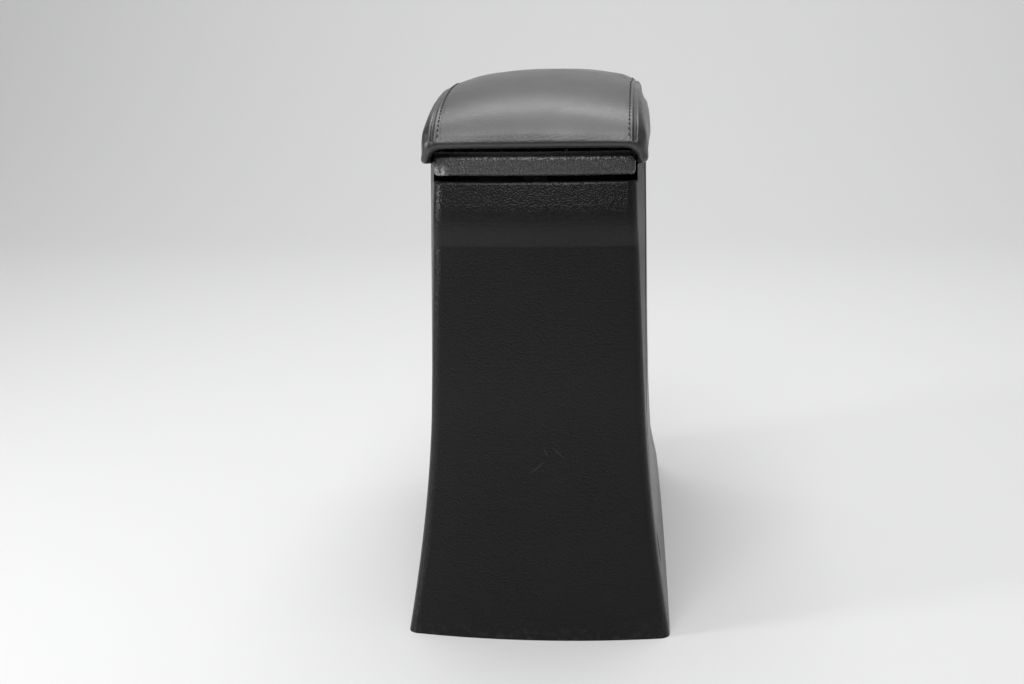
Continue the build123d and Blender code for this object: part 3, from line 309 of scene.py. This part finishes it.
def bump(tree, shader, height, depth):
    """Adds a bump layer of a depth in metres on top of the layers that are there."""
    node = add_node(tree, "ShaderNodeBump", Distance=depth)
    tree.links.new(height, node.inputs["Height"])
    normal = shader.inputs["Normal"]
    if normal.is_linked:
        tree.links.new(normal.links[0].from_socket, node.inputs["Normal"])
    tree.links.new(node.outputs["Normal"], normal)


def pebbles(tree, size):
    """Height of a leather-like grain: rounded pebbles of about that size with creases between."""
    wander = add_node(tree, "ShaderNodeTexNoise", Scale=0.35 / size, Detail=1.0)
    tree.links.new(place(tree), wander.inputs["Vector"])
    shift = vector_node(tree, "MULTIPLY_ADD", wander.outputs["Color"], (size, size, size))
    tree.links.new(place(tree), shift.inputs[2])
    cells = add_node(tree, "ShaderNodeTexVoronoi", feature="SMOOTH_F1", Scale=1 / size, Smoothness=0.5)
    tree.links.new(shift.outputs[0], cells.inputs["Vector"])
    return ramp(tree, cells.outputs["Distance"], (0.0, grey(1.0)), (0.75, grey(0.0)))


def spot(tree, centre, radius):
    """A soft round mask about a point of the object: 1 near its centre, 0 from its radius outwards."""
    gap = vector_node(tree, "DISTANCE", place(tree), centre).outputs["Value"]
    return ramp(tree, math_node(tree, "DIVIDE", gap, radius), (0.2, grey(1.0)), (1.0, grey(0.0)))


def scratch(tree, start, end):
    """A mask of one straight scratch on the housing's near face, from one (x, z) place to another."""
    run = Vector((end[0] - start[0], 0, end[1] - start[1]))
    across = Vector((-run.z, 0, run.x)).normalized()
    middle = Vector((mix(start[0], end[0], 0.5), SCRATCH_Y, mix(start[1], end[1], 0.5)))
    along = vector_node(tree, "DOT_PRODUCT", place(tree), across).outputs["Value"]
    gap = math_node(tree, "ABSOLUTE", math_node(tree, "SUBTRACT", along, across.dot(middle)))
    line = ramp(tree, math_node(tree, "DIVIDE", gap, SCRATCH_WIDTH), (0.3, grey(1.0)), (1.0, grey(0.0)))
    return math_node(tree, "MULTIPLY", line, spot(tree, middle, run.length / SCRATCH_FADE))


# Materials

def grained_plastic(name, colour, size, depth, roughness, shine):
    """Moulded plastic with a leather grain, slightly uneven in gloss and shade."""
    made, tree, shader = new_material(name, colour, roughness)
    shader.inputs["Specular IOR Level"].default_value = shine
    shade = tint(tree, shader, size=0.06, detail=3.0, low=(0.35, colour), high=(0.75, times(colour, 1.25)))
    uneven_gloss(tree, shader, size=0.03, detail=4.0, least=roughness - 0.02, most=roughness + 0.03)
    bump(tree, shader, pebbles(tree, size), depth)
    bump(tree, shader, noise(tree, size / 4), depth / 6)
    return made, tree, shader, shade


def housing_plastic():
    """Black grained plastic with a few pale scratches, and scuffs along the foot."""
    colour = (0.0055, 0.0053, 0.0057)
    made, tree, shader, shade = grained_plastic(
        "shell_plastic", colour, size=0.0010, depth=0.00018, roughness=0.30, shine=0.3)
    for start, end in SCRATCHES:
        shade = mix_colour(tree, scratch(tree, start, end), shade, SCRATCH_COLOUR)
    axes = add_node(tree, "ShaderNodeSeparateXYZ")
    tree.links.new(place(tree), axes.inputs[0])
    height = math_node(tree, "DIVIDE", axes.outputs["Z"], SCUFF_Z)
    low = ramp(tree, height, (0.0, grey(0.7)), (1.0, grey(0.0)))
    patches = ramp(tree, noise(tree, size=0.004, detail=4.0), (0.5, grey(0.0)), (0.65, grey(1.0)))
    scuffs = math_node(tree, "MULTIPLY", low, patches)
    tree.links.new(mix_colour(tree, scuffs, shade, SCUFF_COLOUR), shader.inputs["Base Color"])
    return made


def bar_plastic():
    """Coarser, slightly greyer grain, with a painted highlight: a pale patch at the lower left corner."""
    colour = (0.026, 0.0257, 0.0266)
    made, tree, shader, shade = grained_plastic(
        "bar_plastic", colour, size=0.0011, depth=0.0003, roughness=0.30, shine=0.8)
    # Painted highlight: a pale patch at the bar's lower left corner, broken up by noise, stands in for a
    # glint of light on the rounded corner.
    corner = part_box("release_bar")[0] + PAINTED_GLINT_OFFSET
    glint_patches = ramp(tree, noise(tree, size=0.002, detail=3.0), (0.35, grey(0.0)), (0.55, grey(1.0)))
    mask = math_node(tree, "MULTIPLY", spot(tree, corner, PAINTED_GLINT_RADIUS), glint_patches)
    tree.links.new(mix_colour(tree, mask, shade, PAINTED_GLINT_COLOUR), shader.inputs["Base Color"])
    return made


def leather():
    """Smooth black leather: fine pores, soft creases, a little sheen and specks of dust."""
    colour = (0.0125, 0.0124, 0.0135)
    made, tree, shader = new_material("pad_leather", colour, roughness=0.36)
    shader.inputs["IOR"].default_value = 1.55
    shader.inputs["Specular IOR Level"].default_value = 0.7
    shader.inputs["Sheen Weight"].default_value = 0.05
    shader.inputs["Sheen Roughness"].default_value = 0.5
    shade = tint(tree, shader, size=0.05, detail=3.0, low=(0.3, colour), high=(0.8, times(colour, 1.4)))
    cells = add_node(tree, "ShaderNodeTexVoronoi", feature="F1", Scale=1 / DUST_SPACING)
    tree.links.new(place(tree), cells.inputs["Vector"])
    specks = ramp(tree, cells.outputs["Distance"], (0.03, grey(1.0)), (0.05, grey(0.0)))
    chosen = ramp(tree, noise(tree, size=0.011, detail=0.0), (0.64, grey(0.0)), (0.70, grey(0.6)))
    dust = math_node(tree, "MULTIPLY", specks, chosen)
    tree.links.new(mix_colour(tree, dust, shade, DUST_COLOUR), shader.inputs["Base Color"])
    uneven_gloss(tree, shader, size=0.02, detail=4.0, least=0.32, most=0.40)
    bump(tree, shader, pebbles(tree, size=0.0011), depth=0.00007)
    bump(tree, shader, noise(tree, size=0.018, detail=3.0), depth=0.0003)
    return made


def thread():
    """Twisted dark sewing thread."""
    dark = (0.006, 0.006, 0.007)
    pale = (0.02, 0.02, 0.022)
    made, tree, shader = new_material("stitch_thread", (0.01, 0.01, 0.011), roughness=0.7)
    tint(tree, shader, size=0.0006, detail=1.0, low=(0.35, dark), high=(0.65, pale))
    bump(tree, shader, noise(tree, size=0.0004, detail=1.0), depth=0.00008)
    return made


def matte_plastic(name, colour, roughness):
    """Finely etched moulded plastic."""
    made, tree, shader = new_material(name, colour, roughness)
    tint(tree, shader, size=0.05, detail=3.0, low=(0.3, colour), high=(0.8, times(colour, 1.5)))
    bump(tree, shader, noise(tree, size=0.0007), depth=0.00005)
    return made


def rubber():
    """Dull rubber with fine ribs along its length, a little dusty."""
    colour = (0.014, 0.014, 0.0145)
    dusty = (0.035, 0.034, 0.033)
    made, tree, shader = new_material("mat_rubber", colour, roughness=0.75)
    shader.inputs["Specular IOR Level"].default_value = 0.3
    tint(tree, shader, size=0.03, detail=4.0, low=(0.35, colour), high=(0.8, dusty))
    ribs = add_node(tree, "ShaderNodeTexWave", wave_type="BANDS", bands_direction="X", Scale=16.0)
    tree.links.new(place(tree), ribs.inputs["Vector"])
    bump(tree, shader, ribs.outputs["Fac"], depth=0.0003)
    bump(tree, shader, noise(tree, size=0.0008), depth=0.00006)
    return made


def painted_steel():
    """Black satin paint on sheet steel, with a light orange peel."""
    colour = (0.015, 0.015, 0.016)
    made, tree, shader = new_material("frame_paint", colour, roughness=0.38)
    tint(tree, shader, size=0.025, detail=4.0, low=(0.4, colour), high=(0.75, times(colour, 2.0)))
    bump(tree, shader, noise(tree, size=0.0025), depth=0.00006)
    return made


def steel(name, dark, roughness):
    """Dark steel, uneven in tone and gloss, with a very fine roughness."""
    made, tree, shader = new_material(name, dark, roughness, metallic=1.0)
    tint(tree, shader, size=0.004, detail=3.0, low=(0.3, dark), high=(0.75, times(dark, 1.6)))
    uneven_gloss(tree, shader, size=0.002, detail=3.0, least=roughness - 0.06, most=roughness + 0.1)
    bump(tree, shader, noise(tree, size=0.0006), depth=0.00002)
    return made


LOOKS = {
    "shell_plastic": housing_plastic(),
    "bar_plastic": bar_plastic(),
    "bin_plastic": matte_plastic("bin_plastic", (0.012, 0.012, 0.0125), roughness=0.55),
    "tray_plastic": matte_plastic("tray_plastic", (0.012, 0.012, 0.012), roughness=0.55),
    "mat_rubber": rubber(),
    "frame_paint": painted_steel(),
    "screw_steel": steel("screw_steel", (0.16, 0.16, 0.165), roughness=0.38),
    "pin_steel": steel("pin_steel", (0.10, 0.10, 0.105), roughness=0.42),
    "pad_foam": matte_plastic("pad_foam", (0.2, 0.19, 0.17), roughness=0.9),
    "pad_leather": leather(),
}
for subpart in frame["record"]["subparts"]:
    mesh = nodes[subpart["node"]].data
    mesh.materials.clear()
    mesh.materials.append(LOOKS[subpart["material_slot"]])


# Pad cover

def settle(obj):
    """Replaces an object's mesh by its mesh with the modifiers applied."""
    graph = bpy.context.evaluated_depsgraph_get()
    made = bpy.data.meshes.new_from_object(obj.evaluated_get(graph), depsgraph=graph)
    old = obj.data
    obj.modifiers.clear()
    obj.data = made
    bpy.data.meshes.remove(old)


def points_of(mesh):
    flat = np.zeros(3 * len(mesh.vertices))
    mesh.vertices.foreach_get("co", flat)
    return flat.reshape(-1, 3)


def normals_of(mesh):
    flat = np.zeros(3 * len(mesh.vertices))
    mesh.vertex_normals.foreach_get("vector", flat)
    return flat.reshape(-1, 3)


def move_points(mesh, points):
    mesh.vertices.foreach_set("co", points.ravel())
    mesh.update()


def seam_gap(points):
    """Distance of points from the nearer lengthwise seam: negative on the centre panel."""
    return np.abs(points[:, 0]) - seam_half(points[:, 1])


def in_hollow(points, margin):
    """Which points are on the tray's side of the pad, within a margin."""
    inside = np.abs(points[:, 0]) < hollow_half(points[:, 1]) + margin
    return inside & (points[:, 2] < TRAY_Z + margin)


def reach_down(mesh):
    """Stretches the lower edge back to the solids' height, which smoothing has drawn up."""
    points = points_of(mesh)
    lost = points[:, 2].min() - PAD_BOTTOM_Z
    share = np.clip((PAD_BOTTOM_Z + LOWER_EDGE - points[:, 2]) / (LOWER_EDGE - lost), 0, 1)
    points[:, 2] -= lost * share
    move_points(mesh, points)


def pad_block():
    """One closed mesh around the pad's panels, foam and tray, with rounded edges."""
    joined = bmesh.new()
    for name in PAD_NODES + ("lid_tray",):
        joined.from_mesh(nodes[name].data)
    block = mesh_object("pad_cover", joined)
    remesh = block.modifiers.new("Remesh", "REMESH")
    remesh.mode = "VOXEL"
    remesh.voxel_size = VOXEL
    smooth = block.modifiers.new("Smooth", "SMOOTH")
    smooth.factor = SMOOTHING
    smooth.iterations = ROUNDING
    settle(block)
    reach_down(block.data)
    return block


def swell(cover):
    """Inflates the cover as cloth that is held along its lower edges and under the tray."""
    start = points_of(cover.data)
    held = in_hollow(start, HELD_MARGIN) | (start[:, 2] < PAD_BOTTOM_Z + HELD_MARGIN)
    start = start - normals_of(cover.data) * SLACK * ~held[:, None]
    move_points(cover.data, start)
    group = cover.vertex_groups.new(name=HELD_GROUP)
    group.add([int(i) for i in np.flatnonzero(held)], 1.0, "REPLACE")
    cloth = cover.modifiers.new("Cloth", "CLOTH")
    for setting, value in CLOTH.items():
        setattr(cloth.settings, setting, value)
    cloth.settings.effector_weights.gravity = 0
    cloth.collision_settings.use_collision = False
    for frame_number in range(1, FRAMES + 1):
        scene.frame_set(frame_number)
    settle(cover)
    cover.vertex_groups.clear()
    scene.frame_set(1)
    swollen = points_of(cover.data) - start
    length = np.linalg.norm(swollen, axis=1, keepdims=True)
    limit = MOST_SWELL / np.maximum(length, MOST_SWELL)
    move_points(cover.data, start + swollen * limit)


def open_underside(cover):
    """Removes what the tray covers, so that the cover is a sheet tucked under the tray's edge."""
    shape = bmesh.new()
    shape.from_mesh(cover.data)
    centres = np.array([f.calc_center_median() for f in shape.faces])
    covered = in_hollow(centres, VOXEL / 2) & (centres[:, 1] > PAD_NEAR_Y + WRAP)
    covered &= centres[:, 2] > PAD_BOTTOM_Z + VOXEL / 2
    hidden = [f for f, gone in zip(shape.faces, covered) if gone]
    bmesh.ops.delete(shape, geom=hidden, context="FACES")
    shape.to_mesh(cover.data)
    shape.free()


def refine(cover):
    """Divides the faces beside the seams, so that a narrow seam can be pressed in."""
    shape = bmesh.new()
    shape.from_mesh(cover.data)
    points = points_of(cover.data)
    near = (np.abs(seam_gap(points)) < REFINE_REACH) & ~in_hollow(points, VOXEL)
    edges = [e for e in shape.edges if near[e.verts[0].index] and near[e.verts[1].index]]
    bmesh.ops.subdivide_edges(shape, edges=edges, cuts=REFINE_CUTS, use_grid_fill=True)
    shape.to_mesh(cover.data)
    shape.free()


def stitch_inset(z):
    """Distance of a stitch row from its seam, wider down the nose."""
    share = (z - PAD_BOTTOM_Z) / (PAD_TOP_Z - PAD_BOTTOM_Z)
    return mix(STITCH_INSET_NOSE, STITCH_INSET_TOP, share)


def sew(cover):
    """Presses the seams and the stitch rows into the cover."""
    points = points_of(cover.data)
    normals = normals_of(cover.data)
    outer = ~in_hollow(points, VOXEL)
    gap = seam_gap(points)
    move = LIP_HEIGHT * np.exp(-((np.abs(gap) - LIP_PLACE) / LIP_WIDTH) ** 2)
    move -= SEAM_DEPTH * np.exp(-(gap / SEAM_WIDTH) ** 2)
    move -= STITCH_DIMPLE * np.exp(-((gap + stitch_inset(points[:, 2])) / SEAM_WIDTH) ** 2)
    move_points(cover.data, points + normals * (move * outer)[:, None])


pad = pad_block()
swell(pad)
open_underside(pad)
pad.modifiers.new("Subdivision", "SUBSURF").levels = 1
settle(pad)
refine(pad)
sew(pad)
shade_smooth(pad.data)
pad.data.materials.clear()
pad.data.materials.append(LOOKS["pad_leather"])
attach(pad, "lid")
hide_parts(*PAD_NODES)


# Stitches: one row along each seam, on the centre panel

def row_rays():
    """Points in the pad's heart and directions outwards, from the nose's lower edge over to the far end."""
    for i in range(FAN_STEPS):
        angle = NEAR_FAN * (1 - i / FAN_STEPS)
        yield ROW_NEAR_Y, -math.sin(angle), math.cos(angle)
    for i in range(ROW_STEPS):
        yield mix(ROW_NEAR_Y, ROW_FAR_Y, i / ROW_STEPS), 0.0, 1.0
    for i in range(FAN_STEPS + 1):
        angle = FAR_FAN * i / FAN_STEPS
        yield ROW_FAR_Y, math.sin(angle), math.cos(angle)


def cast(surface, heart, out, x):
    """Where the cover is met from outside, beside a point in its heart."""
    heart = Vector((x, heart.y, heart.z))
    hit, normal, _, _ = surface.ray_cast(heart + out * FAR_OUT, -out)
    return hit, normal


def stitch_line(surface, side):
    """Where a stitch row runs on the cover: points and surface normals."""
    found = []
    for y, dy, dz in row_rays():
        out = Vector((0, dy, dz))
        heart = Vector((0, y, ROW_HEART_Z))
        rough, _ = cast(surface, heart, out, side * (seam_half(y) - STITCH_INSET_NOSE))
        if rough is not None:
            x = side * (seam_half(rough.y) - stitch_inset(rough.z))
            found.append(cast(surface, heart, out, x))
    return found


def evenly(line, pitch):
    """Places along a line at an even pitch: point, direction and normal."""
    travelled = 0.0
    due = pitch
    for (a, normal), (b, _) in zip(line, line[1:]):
        step = (b - a).length
        while step > 0 and travelled + step >= due:
            yield a.lerp(b, (due - travelled) / step), (b - a).normalized(), normal
            due += pitch
        travelled += step


def add_stitch(shape, centre, along, normal):
    """One stitch: a slim thread whose ends dive into the leather."""
    across = along.cross(normal).normalized()
    up = across.cross(along).normalized()
    loops = []
    for i in range(STITCH_RINGS):
        t = 2 * i / (STITCH_RINGS - 1) - 1
        radius = STITCH_RADIUS * max(math.sqrt(1 - t ** 4), STITCH_TIP)
        lift = STITCH_RADIUS * (STITCH_RISE - STITCH_DIVE * t * t)
        middle = centre + along * (t * STITCH_LENGTH / 2) + up * lift
        loop = []
        for k in range(STITCH_SIDES):
            turn = 2 * math.pi * k / STITCH_SIDES
            loop.append(shape.verts.new(middle + (across * math.cos(turn) + up * math.sin(turn)) * radius))
        loops.append(loop)
    for first, second in zip(loops, loops[1:]):
        for k in range(STITCH_SIDES):
            following = (k + 1) % STITCH_SIDES
            shape.faces.new((first[k], first[following], second[following], second[k]))
    shape.faces.new(loops[0][::-1])
    shape.faces.new(loops[-1])


def make_stitches(cover):
    """Both rows of stitches, as one piece."""
    corners = [v.co for v in cover.vertices]
    faces = [p.vertices for p in cover.polygons]
    surface = BVHTree.FromPolygons(corners, faces)
    rows = bmesh.new()
    for side in (-1, 1):
        for centre, along, normal in evenly(stitch_line(surface, side), STITCH_PITCH):
            add_stitch(rows, centre, along, normal)
    bmesh.ops.recalc_face_normals(rows, faces=rows.faces)
    made = mesh_object("pad_stitches", rows)
    shade_smooth(made.data)
    made.data.materials.append(thread())
    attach(made, "lid")


make_stitches(pad.data)


# Stage: a floor that sweeps up into a backdrop, lights and the camera

def make_floor():
    line = [(-FLOOR_HALF, 0.0)]
    for i in range(SWEEP_STEPS + 1):
        turn = math.pi / 2 * i / SWEEP_STEPS
        line.append((SWEEP_Y + SWEEP_RADIUS * math.sin(turn), SWEEP_RADIUS * (1 - math.cos(turn))))
    line.append((SWEEP_Y + SWEEP_RADIUS, WALL_TOP))
    sheet = bmesh.new()
    rows = [[sheet.verts.new((x, y, z)) for x in (-FLOOR_HALF, FLOOR_HALF)] for y, z in line]
    for first, second in zip(rows, rows[1:]):
        sheet.faces.new((first[0], first[1], second[1], second[0])).smooth = True
    floor = mesh_object("floor", sheet)
    look, _, shader = new_material("floor_paper", FLOOR_COLOUR, FLOOR_ROUGHNESS)
    shader.inputs["Specular IOR Level"].default_value = FLOOR_SHINE
    floor.data.materials.append(look)


def add_light(name, position, target, size, power):
    """A rectangular lamp that faces a target."""
    data = bpy.data.lights.new(name, "AREA")
    data.shape = "RECTANGLE"
    data.size, data.size_y = size
    data.energy = power
    light = add_object(name, data)
    light.location = position
    light.rotation_mode = "QUATERNION"
    light.rotation_quaternion = (Vector(target) - Vector(position)).to_track_quat("-Z", "Y")


def make_camera():
    yaw, pitch, roll = CAMERA_YAW, CAMERA_PITCH, CAMERA_ROLL
    level = Vector((math.cos(yaw), math.sin(yaw), 0))
    ahead = Vector((-math.sin(yaw), math.cos(yaw), 0))
    up = Vector((0, 0, 1))
    look = ahead * math.cos(pitch) - up * math.sin(pitch)
    above = ahead * math.sin(pitch) + up * math.cos(pitch)
    right = level * math.cos(roll) + above * math.sin(roll)
    top = above * math.cos(roll) - level * math.sin(roll)
    data = bpy.data.cameras.new("camera")
    data.sensor_width = SENSOR_WIDTH
    data.lens = FOCAL_PIXELS / IMAGE_WIDTH * SENSOR_WIDTH
    data.clip_start = CLIP_START
    camera = add_object("camera", data)
    camera.matrix_world = Matrix((
        (right.x, top.x, -look.x, CAMERA_PLACE.x),
        (right.y, top.y, -look.y, CAMERA_PLACE.y),
        (right.z, top.z, -look.z, CAMERA_PLACE.z),
        (0, 0, 0, 1),
    ))
    scene.camera = camera


def make_world():
    world = bpy.data.worlds.new("studio")
    world.use_nodes = True
    sky = world.node_tree.nodes["Background"]
    sky.inputs["Color"].default_value = (*WORLD_COLOUR, 1)
    sky.inputs["Strength"].default_value = WORLD_STRENGTH
    scene.world = world


make_floor()
make_world()
make_camera()
add_light("overhead", position=(0.0, 0.1, 1.7), target=(0.0, 0.1, 0.3), size=(1.1, 1.9), power=18)
add_light("backdrop_light", position=(0.0, 0.9, 2.6), target=(0.0, 2.6, 1.1), size=(3.0, 0.4), power=36)
add_light("left_box", position=(-1.15, -0.55, 0.5), target=(0.0, -0.16, 0.25), size=(0.3, 0.2), power=6)
add_light("right_box", position=(1.5, -0.2, 0.6), target=(0.0, 0.0, 0.2), size=(0.7, 1.0), power=1)
add_light("front_box", position=(-0.1, -1.15, 1.4), target=(0.0, -0.16, 0.27), size=(1.0, 0.8), power=12)
scene.view_settings.view_transform = "Standard"
